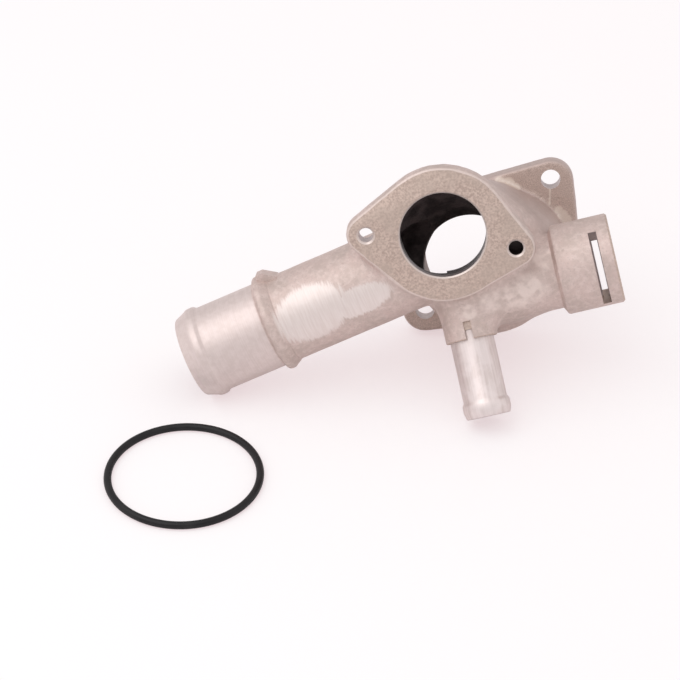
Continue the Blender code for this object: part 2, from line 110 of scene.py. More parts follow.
# Hose pipe, measured back from its mouth
PIPE_ROOT = (-48.95, -3.07, 49.9)
PIPE_AXIS = (-0.9125, -0.4081, 0.0282)
PIPE_LENGTH = 82.5
PIPE_INWARD = 36.0
PIPE_R = 18.5
PIPE_BORE_R = 15.4
PIPE_MOUTH_R = 17.2
BEAD_R = 19.57
COLLAR_R = 20.8
COLLAR_START = 36.5
COLLAR_WIDTH = 6.5

# The wedge behind the collar, where the parting line crosses it
TAB_START = 3.6
TAB_LENGTH = 7.4
TAB_CREST = 2.2
TAB_RISE = 1.2
TAB_R = 0.5
TAB_WIDTH = 9.0
TAB_TURN = 2.0

# Sensor socket, measured back from its mouth
SOCKET_MOUTH = (53.0, 7.9, 46.0)
SOCKET_AXIS = (0.9688, 0.2478, 0.0)
SOCKET_R = 18.9
SOCKET_LENGTH = 24.5
SOCKET_BORE_R = 15.0
SOCKET_BORE_DEPTH = 22.0
NECK_R = 15.8
NECK_BORE_R = 12.5
NECK_LENGTH = 52.0
SOCKET_CHAMFER = 0.8
SLOT_WIDTH = 3.5
SLOT_LENGTH = 31.0
SLOT_FROM_MOUTH = 7.3
FAR_SLOT_WIDTH = 2.5
FAR_SLOT_TOP = 5.5

# Boss and bypass tube
BOSS_MOUTH = (-6.17, -25.28, 58.04)
BOSS_AXIS = (0.232, -0.9275, 0.3191)
BOSS_R = 11.0
BOSS_LENGTH = 27.0
BOSS_CHAMFER = 0.5
BOSS_SLOT_WIDTH = 3.2
BOSS_SLOT_LENGTH = 7.5
BOSS_SLOT_OPEN = 4.0
BOSS_SLOT_FLOOR_R = 9.9
SEAT_DEPTH = 11.0
TUBE_R = 9.2
TUBE_WALL = 1.3
TUBE_REACH = 32.6
TUBE_BEAD_R = 10.0
FIT_GAP = 0.3

# Sealing ring
RING_R = 31.0
RING_SECTION = 3.2

# How the rough casting is made
GRAIN = 0.8
BLEND = 1.8
STEPS = 96
CRISP_STEPS = 144
CUTTER_STEPS = 128
BORE_STEPS = 160
HOLE_STEPS = 48
RING_STEPS = 192
WAVE = 0.09
WAVE_LENGTH = 7.0

# Edges sharper than this stay crisp, in degrees
CAST_CREASE = 32
TUBE_CREASE = 50

# The field that was ground on the hose pipe: two lobes, each the depth behind the mouth, the angle
# round the pipe from the casting's z, and half of both spans (degrees)
PATCH_LOBES = (
    (57.0, 5.0, 16.5, 38.0),
    (77.5, -5.0, 14.0, 20.0),
)

# Painted highlights on the engine plate, beside the drum: centre and radius
HIGHLIGHT_SPOTS = (
    ((5.0, 31.0, 9.3), 1.6),
    ((8.4, 30.0, 9.3), 2.3),
    ((11.4, 28.4, 9.3), 1.5),
    ((30.4, 19.0, 9.3), 1.0),
    ((32.2, 16.8, 9.3), 1.5),
    ((34.0, 14.8, 9.3), 1.4),
)

# Thin witness line on the engine plate, below the upper hole
WITNESS_X = 26.4
WITNESS_FROM = 20.8
WITNESS_TO = 27.9

# Where the body is bright beside the socket, partly rubbed metal and partly a painted highlight:
# centre and radius
RUBBED_AND_HIGHLIGHT_SPOTS = (
    ((13.6, -3.3, 62.2), 5.5),
    ((7.1, -5.4, 62.6), 4.5),
    ((19.3, -1.6, 61.8), 4.0),
    ((0.9, -7.8, 63.6), 3.0),
    ((22.4, 10.3, 58.3), 3.0),
    ((-7.3, -11.3, 65.2), 2.2),
)

# Where shade is painted on the body, under the outlet flange: z and y
SHADE_UNDER_FLANGE_Z = (34.0, 48.0)
SHADE_UNDER_FLANGE_Y = (6.0, 14.0)

# How deep the painted shade on the outlet bore's wall turns to its darkest
BORE_DARK_FROM = 3.4
BORE_DARK_TO = 4.6

# Where the coolant's ways show their cast colour inside; elsewhere they carry painted shade: z of the
# chamber, depth in the hose pipe and x in the socket
CHAMBER_OPEN = (24.0, 34.0)
PIPE_OPEN = (40.0, 70.0)
SOCKET_OPEN = (22.0, 36.0)

# Colours, as linear light
CAST_WARM = (0.66, 0.53, 0.49)
CAST_GREY = (0.595, 0.487, 0.445)
CAST_PALE = (0.77, 0.645, 0.605)
# Darkest cast tone, used for the grain and for the painted shade under the outlet flange
CAST_DARK_GRAIN_AND_SHADE = (0.485, 0.385, 0.355)
PLATE_DARK = (0.45, 0.35, 0.305)
PLATE_LIGHT = (0.66, 0.53, 0.475)
FACE_DARK = (0.47, 0.36, 0.31)
FACE_LIGHT = (0.67, 0.54, 0.47)
FACE_OLIVE = (0.54, 0.44, 0.38)
# Bright colour for the witness scratch, and for the painted highlights on the engine plate
BARE_METAL_AND_HIGHLIGHT = (0.80, 0.70, 0.62)
TURNED_DARK = (0.69, 0.585, 0.555)
TURNED_LIGHT = (0.76, 0.655, 0.63)
GROUND_DARK = (0.765, 0.67, 0.635)
GROUND_LIGHT = (0.83, 0.745, 0.715)
# Bright colour beside the socket: rubbed metal, and partly a painted highlight
RUBBED_AND_HIGHLIGHT = (0.83, 0.71, 0.66)
# Painted highlight for the outlet flange's top edge and the chamfers
EDGE_HIGHLIGHT = (0.78, 0.68, 0.63)
# The next two colours are painted shade, for the deep ways, the outlet bore and the right hole's
# floor
INNER_PAINTED_SHADE = (0.034, 0.024, 0.024)
INNER_PAINTED_SHADE_PALE = (0.105, 0.078, 0.077)
INNER_OPEN = (0.40, 0.325, 0.30)
INNER_OPEN_PALE = (0.52, 0.43, 0.40)
BORED = (0.52, 0.44, 0.43)
BORED_PALE = (0.64, 0.55, 0.535)
# Painted shade on the outlet bore's wall
OUTLET_WALL_SHADE = (0.23, 0.19, 0.192)
STEEL = (0.80, 0.71, 0.69)
STEEL_DARK = (0.68, 0.585, 0.56)
STEEL_PALE = (0.90, 0.82, 0.81)
RUBBER = (0.008, 0.007, 0.008)
RUBBER_BLOOM = (0.016, 0.015, 0.016)
RUBBER_SPECULAR = 0.3
RING_FACETS = 24

# Stage, light and camera, in metres
FLOOR_R = 3.0
FLOOR_COLOUR = (0.92, 0.885, 0.895)
FLOOR_SEEN = (0.33, 0.42, 0.41)
FLOOR_GLOW = (1.0, 0.82, 0.845)
FLOOR_LIFT = 0.66
TENT = 0.94
TENT_BACK = 0.62
TENT_FRONT = 0.68
TENT_BACK_TURN = (-0.9, -0.1)
TENT_FRONT_TURN = (0.35, 0.95)
TENT_COLOUR = (1.0, 0.975, 0.98)
OPENING = (0.0, -1.0, 0.1)
SOFTBOX = (-0.45, -0.25, 0.9)
SOFTBOX_AIM = (0.0, 0.0, 0.04)
SOFTBOX_SIZE = (1.0, 0.8)
SOFTBOX_WATTS = 3.0
CAMERA = (-0.013253, -0.796473, 0.631213)
LOOK_DOWN = 36.855
LOOK_ASIDE = -0.116
FOCAL_PIXELS = 2404.5
FRAME_PIXELS = 680
SENSOR = 36.0

UP = (0.0, 0.0, 1.0)


def mount(name):
    return next(m for m in frame["record"]["mounts"] if m["name"] == name)


def casting_frame():
    """Matrix from the casting's own frame to the frame's, found from the two mounts."""
    up = Vector(mount("outlet_face")["axis"]).normalized()
    engine = Vector(mount("engine_face")["pos_m"])
    across = Vector(mount("outlet_face")["pos_m"]) - engine
    across = (across - up * across.dot(up)).normalized()
    beside = up.cross(across)
    drawn = Vector(OUTLET_MOUNT) - Vector(ENGINE_MOUNT)
    angle = math.atan2(drawn.y, drawn.x)
    right = across * math.cos(angle) - beside * math.sin(angle)
    turn = Matrix((right, up.cross(right), up)).transposed()
    return Matrix.Translation(engine - turn @ (Vector(ENGINE_MOUNT) * MM)) @ turn.to_4x4()


PLACING = casting_frame()


def along(origin, axis):
    """Matrix that puts +z of a shape along axis, at origin (millimetres)."""
    turn = Vector(axis).normalized().to_track_quat("Z", "Y").to_matrix().to_4x4()
    return Matrix.Translation(Vector(origin) * MM) @ turn


def pipe_mouth():
    return tuple(Vector(PIPE_ROOT) + Vector(PIPE_AXIS).normalized() * PIPE_LENGTH)


def mesh_of(shape, name):
    bmesh.ops.recalc_face_normals(shape, faces=shape.faces)
    if shape.calc_volume(signed=True) < 0:
        bmesh.ops.reverse_faces(shape, faces=shape.faces)
    mesh = bpy.data.meshes.new(name)
    shape.to_mesh(mesh)
    shape.free()
    return mesh


def turned(profile, placing=None, steps=STEPS):
    """Closed solid of revolution, from (radius, height) points; radius 0 closes an end."""
    shape = bmesh.new()
    points = [shape.verts.new((radius * MM, 0.0, height * MM)) for radius, height in profile]
    edges = [shape.edges.new(pair) for pair in zip(points, points[1:])]
    if profile[0][0] > 0:
        edges.append(shape.edges.new((points[-1], points[0])))
    bmesh.ops.spin(
        shape, geom=points + edges, axis=UP, cent=(0, 0, 0), steps=steps, angle=math.tau
    )
    bmesh.ops.remove_doubles(shape, verts=shape.verts, dist=0.000002)
    if placing is not None:
        shape.transform(placing)
    return mesh_of(shape, "turned")


def rod(radius, bottom, top, placing=None, steps=STEPS):
    return turned([(0, top), (radius, top), (radius, bottom), (0, bottom)], placing, steps)


def hull(rings):
    """Convex body over rings, each (centre, axis, radius)."""
    shape = bmesh.new()
    for centre, axis, radius in rings:
        bmesh.ops.create_circle(
            shape, cap_ends=False, radius=radius * MM, segments=STEPS, matrix=along(centre, axis)
        )
    found = bmesh.ops.convex_hull(shape, input=shape.verts)
    spare = [v for v in found["geom_interior"] if isinstance(v, bmesh.types.BMVert)]
    bmesh.ops.delete(shape, geom=spare, context="VERTS")
    return mesh_of(shape, "hull")


def box(size, placing):
    shape = bmesh.new()
    bmesh.ops.create_cube(shape, size=1.0, matrix=Matrix.Diagonal((*(Vector(size) * MM), 1.0)))
    shape.transform(placing)
    return mesh_of(shape, "box")


def belt(circles, arc_step=4.0):
    """Outline of a belt drawn round circles (x, y, radius), given anticlockwise."""
    count = len(circles)
    normals = []
    for i in range(count):
        x0, y0, r0 = circles[i]
        x1, y1, r1 = circles[(i + 1) % count]
        away = math.hypot(x1 - x0, y1 - y0)
        heading = math.atan2(y1 - y0, x1 - x0)
        normals.append(heading - math.pi / 2 - math.asin((r1 - r0) / away))
    points = []
    for i in range(count):
        x, y, radius = circles[i]
        first, last = normals[i - 1], normals[i]
        while last < first:
            last += math.tau
        parts = max(1, round(math.degrees(last - first) / arc_step))
        for k in range(parts + 1):
            angle = first + (last - first) * k / parts
            points.append((x + radius * math.cos(angle), y + radius * math.sin(angle)))
    return points


def plate(circles, bottom, top, rounding):
    """Plate on a belt outline, its edges rounded in four steps."""
    shape = bmesh.new()
    levels = []
    quarter = [math.radians(90 * k / 4) for k in range(5)]
    for turn in quarter:
        inset = rounding * (1 - math.sin(turn))
        levels.append((bottom + rounding * (1 - math.cos(turn)), inset))
    for turn in reversed(quarter):
        inset = rounding * (1 - math.sin(turn))
        levels.append((top - rounding * (1 - math.cos(turn)), inset))
    loops = []
    for height, inset in levels:
        outline = belt([(x, y, radius - inset) for x, y, radius in circles])
        loops.append([shape.verts.new((x * MM, y * MM, height * MM)) for x, y in outline])
    for lower, upper in zip(loops, loops[1:]):
        for i in range(len(lower)):
            j = (i + 1) % len(lower)
            shape.faces.new((lower[i], lower[j], upper[j], upper[i]))
    shape.faces.new(reversed(loops[0]))
    shape.faces.new(loops[-1])
    return mesh_of(shape, "plate")


def joined(meshes, name):
    """One object of several meshes, in the casting's own frame."""
    shape = bmesh.new()
    for mesh in meshes:
        shape.from_mesh(mesh)
        bpy.data.meshes.remove(mesh)
    mesh = bpy.data.meshes.new(name)
    shape.to_mesh(mesh)
    shape.free()
    made = bpy.data.objects.new(name, mesh)
    bpy.context.scene.collection.objects.link(made)
    return made


def settled(made):
    """Applies the modifiers of made."""
    bpy.context.view_layer.update()
    evaluated = made.evaluated_get(bpy.context.evaluated_depsgraph_get())
    mesh = bpy.data.meshes.new_from_object(evaluated)
    made.modifiers.clear()
    made.data = mesh
    return made


def remeshed(made, size):
    step = made.modifiers.new("grain", "REMESH")
    step.mode = "VOXEL"
    step.voxel_size = size * MM
    step.use_smooth_shade = True


def swollen(made, by):
    step = made.modifiers.new("swell", "DISPLACE")
    step.direction = "NORMAL"
    step.mid_level = 0.0
    step.strength = by * MM


def smoothed(made, times, factor=0.5):
    step = made.modifiers.new("smooth", "SMOOTH")
    step.factor = factor
    step.iterations = times


def plate_circles():
    disc = (*PLATE_CENTRE, PLATE_DISC_R)
    upper, lower = PLATE_LOBES
    return [lower, disc, PLATE_SHOULDER, upper, disc]


def outlet_circles():
    x, y = OUTLET_CENTRE
    disc = (x, y, OUTLET_DISC_R)
    left = (x + OUTLET_LEFT[0], y + OUTLET_LEFT[1], OUTLET_LOBE_R)
    right = (x + OUTLET_RIGHT[0], y + OUTLET_RIGHT[1], OUTLET_LOBE_R)
    return [left, disc, right, disc]


def on_socket(depth, side=0.0, height=0.0):
    """Point at a depth behind the socket's mouth, moved sideways and in z."""
    axis = Vector(SOCKET_AXIS).normalized()
    beside = Vector((-axis.y, axis.x, 0))
    return tuple(Vector(SOCKET_MOUTH) - axis * depth + beside * side + Vector((0, 0, height)))


def on_boss(depth, side=0.0):
    axis = Vector(BOSS_AXIS).normalized()
    return tuple(Vector(BOSS_MOUTH) - axis * depth + Vector((side, 0, 0)))


def body_lumps():
    """The cast body, whose joins blend into each other."""
    mouth = pipe_mouth()
    neck_top = OUTLET_TOP - OUTLET_PLATE / 2
    return [
        plate(outlet_circles(), OUTLET_TOP - OUTLET_PLATE, OUTLET_TOP + 0.4, 1.4),
        hull(
            [
                ((0, 0, PLATE_TOP / 2), UP, DRUM_R),
                ((0, 0, DRUM_TOP), UP, DRUM_R),
                ((*OUTLET_CENTRE, NECK_FOOT), UP, OUTLET_NECK_R),
                ((*OUTLET_CENTRE, neck_top), UP, OUTLET_NECK_R),
            ]
        ),
        hull(
            [
                ((7, 0, PLATE_TOP / 2), UP, 28),
                ((7, 0, DRUM_TOP - 4), UP, 27),
                (on_socket(32), SOCKET_AXIS, NECK_R),
                (on_socket(NECK_LENGTH), SOCKET_AXIS, NECK_R + 1.0),
            ]
        ),
        rod(PIPE_R, -PIPE_LENGTH - PIPE_INWARD, -COLLAR_START - 1, along(mouth, PIPE_AXIS)),
        rod(NECK_R, -NECK_LENGTH, -SOCKET_LENGTH + 3, along(SOCKET_MOUTH, SOCKET_AXIS)),
        turned(
            [(0, 1.5), (BOSS_R, 1.5), (BOSS_R, -8), (BOSS_R + 2.5, -BOSS_LENGTH), (0, -BOSS_LENGTH)],
            along(BOSS_MOUTH, BOSS_AXIS),
        ),
        hull(
            [
                (on_boss(2.5, 2.0), BOSS_AXIS, BOSS_R - 3.0),
                (on_boss(13, 11), BOSS_AXIS, BOSS_R - 1.0),
                (on_boss(20, 4), BOSS_AXIS, BOSS_R + 3.0),
            ]
        ),
    ]


def pipe_profile():
    """The outer side of the hose pipe from its mouth to behind the collar."""
    back = COLLAR_START + COLLAR_WIDTH
    return [
        (0, 0),
        (PIPE_MOUTH_R - 1.0, 0),
        (PIPE_MOUTH_R - 0.4, -0.1),
        (PIPE_MOUTH_R, -0.5),
        (PIPE_MOUTH_R + 0.2, -1.0),
        (BEAD_R - 0.6, -4.9),
        (BEAD_R - 0.15, -5.6),
        (BEAD_R, -6.4),
        (BEAD_R, -8.2),
        (BEAD_R - 0.2, -8.9),
        (BEAD_R - 0.6, -9.4),
        (PIPE_R + 0.15, -9.9),
        (PIPE_R, -10.5),
        (PIPE_R, -COLLAR_START + 0.3),
        (PIPE_R + 0.3, -COLLAR_START),
        (COLLAR_R - 0.6, -COLLAR_START - 0.5),
        (COLLAR_R - 0.15, -COLLAR_START - 1.0),
        (COLLAR_R, -COLLAR_START - 1.7),
        (COLLAR_R, -COLLAR_START - 2.6),
        (COLLAR_R - 0.2, -COLLAR_START - 3.3),
        (COLLAR_R - 0.7, -COLLAR_START - 4.0),
        (PIPE_R + 0.5, -back + 0.5),
        (PIPE_R + 0.1, -back),
        (PIPE_R - 0.4, -back - 0.4),
        (0, -back - 0.4),
    ]


def collar_tab():
    """The wedge behind the collar: rings across it, at its front, crest, foot and root."""
    axis = Vector(PIPE_AXIS).normalized()
    outward = Matrix.Rotation(math.radians(TAB_TURN), 3, axis) @ Vector(UP).cross(axis)
    outward.normalize()
    if outward.y < 0:
        outward.negate()
    tangent = axis.cross(outward)
    start = Vector(pipe_mouth()) - axis * (COLLAR_START + TAB_START)
    raised = outward * (COLLAR_R + TAB_RISE - TAB_R)
    buried = outward * (PIPE_R - TAB_R)
    corners = (
        start + raised,
        start - axis * TAB_CREST + raised,
        start - axis * TAB_LENGTH + buried,
        start + buried,
    )
    rings = []
    for corner in corners:
        for aside in (-TAB_WIDTH / 2, TAB_WIDTH / 2):
            rings.append((tuple(corner + tangent * aside), tangent, TAB_R))
    return hull(rings)


def crisp_lumps():
    """The turned ends and the collar's wedge, which keep sharper corners than the cast body."""
    return [
        turned(pipe_profile(), along(pipe_mouth(), PIPE_AXIS), CRISP_STEPS),
        collar_tab(),
        turned(
            [
                (0, 1.5),
                (SOCKET_R, 1.5),
                (SOCKET_R, -SOCKET_LENGTH + 1.2),
                (SOCKET_R - 0.4, -SOCKET_LENGTH + 0.4),
                (SOCKET_R - 1.2, -SOCKET_LENGTH),
                (NECK_R - 1.0, -SOCKET_LENGTH - 1.5),
                (0, -SOCKET_LENGTH - 1.5),
            ],
            along(SOCKET_MOUTH, SOCKET_AXIS),
            CRISP_STEPS,
        ),
    ]


def rough_casting():
    """Everything that is cast metal, before the machining, blended; housing() then joins on its crisp
    ends.
    """
    made = joined(body_lumps(), "rough_casting")
    remeshed(made, GRAIN)
    swollen(made, BLEND)
    remeshed(made, GRAIN)
    swollen(made, -BLEND)
    remeshed(made, GRAIN)
    smoothed(made, 3)
    settled(made)
    engine_plate = joined([plate(plate_circles(), PLATE_BOTTOM, PLATE_TOP, 1.2)], "engine_plate")
    shape = bmesh.new()
    shape.from_mesh(made.data)
    shape.from_mesh(engine_plate.data)
    shape.to_mesh(made.data)
    shape.free()
    bpy.data.objects.remove(engine_plate)
    remeshed(made, GRAIN)
    smoothed(made, 2)
    settled(made)
    uneven(made.data)
    return made


def uneven(mesh):
    """Sand leaves a casting a little wavy; its turned stub stays round."""
    mouth = Vector(pipe_mouth()) * MM
    axis = Vector(PIPE_AXIS).normalized()
    normals = [v.normal.copy() for v in mesh.vertices]
    for vertex, normal in zip(mesh.vertices, normals):
        place = vertex.co / (WAVE_LENGTH * MM)
        depth = (mouth - vertex.co).dot(axis) / MM
        cast = min(1.0, max(0.0, (depth - COLLAR_START) / 4.0))
        height = noise.noise(place) + 0.5 * noise.noise(place * 2.7 + Vector((5, 3, 1)))
        vertex.co += normal * (height * WAVE * cast * MM)


def end_cutter(radius, chamfer, placing):
    """Faces an end off at its mouth, and breaks its outer edge."""
    reach = radius + 3.0
    return turned(
        [
            (0, 4.0),
            (reach, 4.0),
            (reach, -chamfer - 0.3),
            (radius + 0.3, -chamfer - 0.3),
            (radius - chamfer, 0),
            (0, 0),
        ],
        placing,
        CUTTER_STEPS,
    )


def cutters():
    """The bores, holes, groove and slots, each (mesh, material index)."""
    clear = 1.0
    bore_foot = OUTLET_TOP - OUTLET_PLATE - 1.5
    mouth = pipe_mouth()
    centre = Matrix.Translation(Vector((*PLATE_CENTRE, 0)) * MM)
    outlet = Matrix.Translation(Vector((*OUTLET_CENTRE, 0)) * MM)
    socket = along(SOCKET_MOUTH, SOCKET_AXIS)
    boss = along(BOSS_MOUTH, BOSS_AXIS)
    pipe = along(mouth, PIPE_AXIS)
    made = [
        (box((120, 120, 10), Matrix.Translation(Vector((0, 0, -5)) * MM)), 1),
        (
            box((90, 90, 10), Matrix.Translation(Vector((*OUTLET_CENTRE, OUTLET_TOP + 5)) * MM)),
            1,
        ),
        (rod(PLATE_BORE_R, -clear, CHAMBER_DEPTH, centre), 2),
        (
            rod(
                PORT_R,
                CHAMBER_DEPTH - clear,
                FLOOR_TOP + clear,
                Matrix.Translation(Vector((*PORT_CENTRE, 0)) * MM),
            ),
            2,
        ),
        (
            hull(
                [
                    ((*PORT_CENTRE, FLOOR_TOP), UP, PORT_R + PORT_LEDGE),
                    ((*OUTLET_CENTRE, bore_foot), UP, GALLERY_R),
                ]
            ),
            2,
        ),
        (
            turned(
                [
                    (0, OUTLET_TOP + clear),
                    (OUTLET_BORE_R + OUTLET_BORE_CHAMFER + clear, OUTLET_TOP + clear),
                    (OUTLET_BORE_R + OUTLET_BORE_CHAMFER, OUTLET_TOP),
                    (OUTLET_BORE_R, OUTLET_TOP - OUTLET_BORE_CHAMFER),
                    (OUTLET_BORE_R, bore_foot - clear),
                    (0, bore_foot - clear),
                ],
                outlet,
                BORE_STEPS,
            ),
            3,
        ),
        (
            turned(
                [
                    (GROOVE_R + GROOVE_WIDTH / 2, GROOVE_DEPTH),
                    (GROOVE_R + GROOVE_WIDTH / 2, -clear),
                    (GROOVE_R - GROOVE_WIDTH / 2, -clear),
                    (GROOVE_R - GROOVE_WIDTH / 2, GROOVE_DEPTH),
                ],
                centre,
                CUTTER_STEPS,
            ),
            1,
        ),
        (rod(PIPE_BORE_R, -PIPE_LENGTH - PIPE_INWARD + 4.0, clear, pipe), 2),
        (rod(SOCKET_BORE_R, -SOCKET_BORE_DEPTH, clear, socket), 3),
        (rod(NECK_BORE_R, -NECK_LENGTH, clear, socket), 2),
        (rod(TUBE_R + FIT_GAP, -SEAT_DEPTH, clear, boss), 3),
        (rod(TUBE_R - TUBE_WALL, -BOSS_LENGTH - 6.0, clear, boss), 2),
    ]
    for x, y in PLATE_HOLES:
        place = Matrix.Translation(Vector((x, y, 0)) * MM)
        made.append((rod(PLATE_HOLE_R, -clear, PLATE_TOP + 6.0, place, HOLE_STEPS), 3))
    for (x, y), depth in ((OUTLET_LEFT, LEFT_HOLE_DEPTH), (OUTLET_RIGHT, RIGHT_HOLE_DEPTH)):
        place = Matrix.Translation(Vector((OUTLET_CENTRE[0] + x, OUTLET_CENTRE[1] + y, 0)) * MM)
        hole = [
            (0, OUTLET_TOP + clear),
            (OUTLET_HOLE_R + OUTLET_HOLE_CHAMFER + clear, OUTLET_TOP + clear),
            (OUTLET_HOLE_R + OUTLET_HOLE_CHAMFER, OUTLET_TOP),
            (OUTLET_HOLE_R, OUTLET_TOP - OUTLET_HOLE_CHAMFER),
            (OUTLET_HOLE_R, OUTLET_TOP - depth),
            (0, OUTLET_TOP - depth),
        ]
        made.append((turned(hole, place, HOLE_STEPS), 3))
    made.append((end_cutter(SOCKET_R, SOCKET_CHAMFER, socket), 1))
    made.append((end_cutter(BOSS_R, BOSS_CHAMFER, boss), 1))
    axis = Vector(SOCKET_AXIS).normalized()
    turn = Matrix.Rotation(math.atan2(axis.y, axis.x), 4, "Z")
    near = on_socket(SLOT_FROM_MOUTH, 0.0, SOCKET_R / 2 + 1.0)
    near = Matrix.Translation(Vector(near) * MM) @ turn
    made.append((box((SLOT_WIDTH, SLOT_LENGTH, SOCKET_R + 2.0), near), 1))
    far_length = FAR_SLOT_TOP + SLOT_LENGTH / 2
    far_side = FAR_SLOT_TOP - far_length / 2
    far = on_socket(SLOT_FROM_MOUTH, far_side, -SOCKET_R / 2)
    far = Matrix.Translation(Vector(far) * MM) @ turn
    made.append((box((FAR_SLOT_WIDTH, far_length, SOCKET_R + 2.0), far), 1))
    outward = boss.to_3x3().inverted() @ Vector(UP)
    side = Matrix.Rotation(math.atan2(outward.y, outward.x), 4, "Z")
    for floor_r, length in ((TUBE_R, BOSS_SLOT_OPEN), (BOSS_SLOT_FLOOR_R, BOSS_SLOT_LENGTH)):
        depth = BOSS_R + 3.0 - floor_r
        shift = Matrix.Translation(Vector((floor_r + depth / 2, 0, 0)) * MM)
        made.append((box((depth, BOSS_SLOT_WIDTH, length * 2), boss @ side @ shift), 1))
    return made


class Finish:
    """A material, with short calls for the nodes that its detail needs."""

    def __init__(self, name, colour, metallic, roughness):
        self.made = bpy.data.materials.new(name)
        self.made.use_nodes = True
        self.tree = self.made.node_tree
        self.shader = self.tree.nodes["Principled BSDF"]
        self.shader.inputs["Base Color"].default_value = (*colour, 1)
        self.shader.inputs["Metallic"].default_value = metallic
        self.shader.inputs["Roughness"].default_value = roughness

    def node(self, kind, *values, **settings):
        made = self.tree.nodes.new(kind)
        for key, value in settings.items():
            setattr(made, key, value)
        for socket, value in zip(made.inputs, values):
            self.feed(socket, value)
        return made

    def feed(self, socket, value):
        if isinstance(value, bpy.types.NodeSocket):
            self.tree.links.new(value, socket)
        elif value is not None:
            socket.default_value = value

    def math(self, operation, *values):
        return self.node("ShaderNodeMath", *values, operation=operation).outputs[0]

    def vector(self, operation, *values):
        made = self.node("ShaderNodeVectorMath", *values, operation=operation)
        return made.outputs["Value" if operation in ("DOT_PRODUCT", "DISTANCE") else "Vector"]

    def place(self):
        """Where a point lies in the piece's own frame, in millimetres."""
        made = self.node("ShaderNodeAttribute", attribute_name="place")
        return made.outputs["Vector"]

    def split(self, vector):
        return self.node("ShaderNodeSeparateXYZ", vector).outputs[:3]

    def merge(self, x, y, z):
        return self.node("ShaderNodeCombineXYZ", x, y, z).outputs[0]

    def noise(self, vector, scale, detail):
        made = self.node("ShaderNodeTexNoise")
        self.feed(made.inputs["Vector"], vector)
        made.inputs["Scale"].default_value = scale
        made.inputs["Detail"].default_value = detail
        return made.outputs["Fac"]

    def pits(self, vector, scale):
        made = self.node("ShaderNodeTexVoronoi")
        self.feed(made.inputs["Vector"], vector)
        made.inputs["Scale"].default_value = scale
        return made.outputs["Distance"]

    def fade(self, value, low, high, start=0.0, end=1.0):
        """From start to end, as value goes from low to high."""
        made = self.node(
            "ShaderNodeMapRange", value, low, high, start, end, interpolation_type="SMOOTHSTEP"
        )
        return made.outputs[0]

    def blend(self, factor, first, second):
        made = self.node("ShaderNodeMix", data_type="RGBA")
        self.feed(made.inputs[0], factor)
        for socket, value in ((made.inputs[6], first), (made.inputs[7], second)):
            self.feed(socket, (*value, 1) if isinstance(value, tuple) else value)
        return made.outputs[2]

    def mix(self, factor, first, second):
        return self.node("ShaderNodeMix", factor, None, first, second).outputs[0]

    def bump(self, height, millimetres):
        made = self.node("ShaderNodeBump")
        made.inputs["Strength"].default_value = 1.0
        made.inputs["Distance"].default_value = millimetres * MM
        self.feed(made.inputs["Height"], height)
        return made.outputs["Normal"]

    def use(self, socket, value):
        self.feed(self.shader.inputs[socket], value)


def spot(finish, place, centre, radius, edge):
    """One inside a ball round centre, fading out over edge."""
    away = finish.vector("DISTANCE", place, centre)
    return finish.fade(away, radius, radius + edge, 1.0, 0.0)


def grow_mask(finish, masks):
    total = masks[0]
    for mask in masks[1:]:
        total = finish.math("MAXIMUM", total, mask)
    return total


def pipe_places(finish, place):
    """Depth behind the hose pipe's mouth, and the angle round its axis from the casting's z."""
    axis = Vector(PIPE_AXIS).normalized()
    top = (Vector(UP) - axis * axis.z).normalized()
    side = axis.cross(top)
    from_mouth = finish.vector("SUBTRACT", place, pipe_mouth())
    depth = finish.vector("DOT_PRODUCT", from_mouth, tuple(-axis))
    across = finish.vector("DOT_PRODUCT", from_mouth, tuple(side))
    above = finish.vector("DOT_PRODUCT", from_mouth, tuple(top))
    angle = finish.math("ARCTAN2", across, above)
    away = finish.math("SQRT", finish.math("ADD", finish.math("MULTIPLY", across, across),
                                           finish.math("MULTIPLY", above, above)))
    return depth, angle, away


def ground_patch(finish, depth, angle, away, strokes):
    """Where the gate was ground off the hose pipe: an uneven field, combed out at its edges."""
    wobble = finish.math("MULTIPLY", finish.math("SUBTRACT", strokes, 0.5), 1.1)
    field = None
    for middle, turn, half, spread in PATCH_LOBES:
        along_pipe = finish.math("DIVIDE", finish.math("SUBTRACT", depth, middle), half)
        round_pipe = finish.math("SUBTRACT", angle, math.radians(turn))
        round_pipe = finish.math("DIVIDE", round_pipe, math.radians(spread))
        square = finish.math(
            "ADD",
            finish.math("MULTIPLY", along_pipe, along_pipe),
            finish.math("MULTIPLY", round_pipe, round_pipe),
        )
        lobe = finish.fade(finish.math("ADD", square, wobble), 0.75, 1.15, 1.0, 0.0)
        field = lobe if field is None else finish.math("MAXIMUM", field, lobe)
    return finish.math("MULTIPLY", field, finish.fade(away, 19.0, 20.0, 1.0, 0.0))


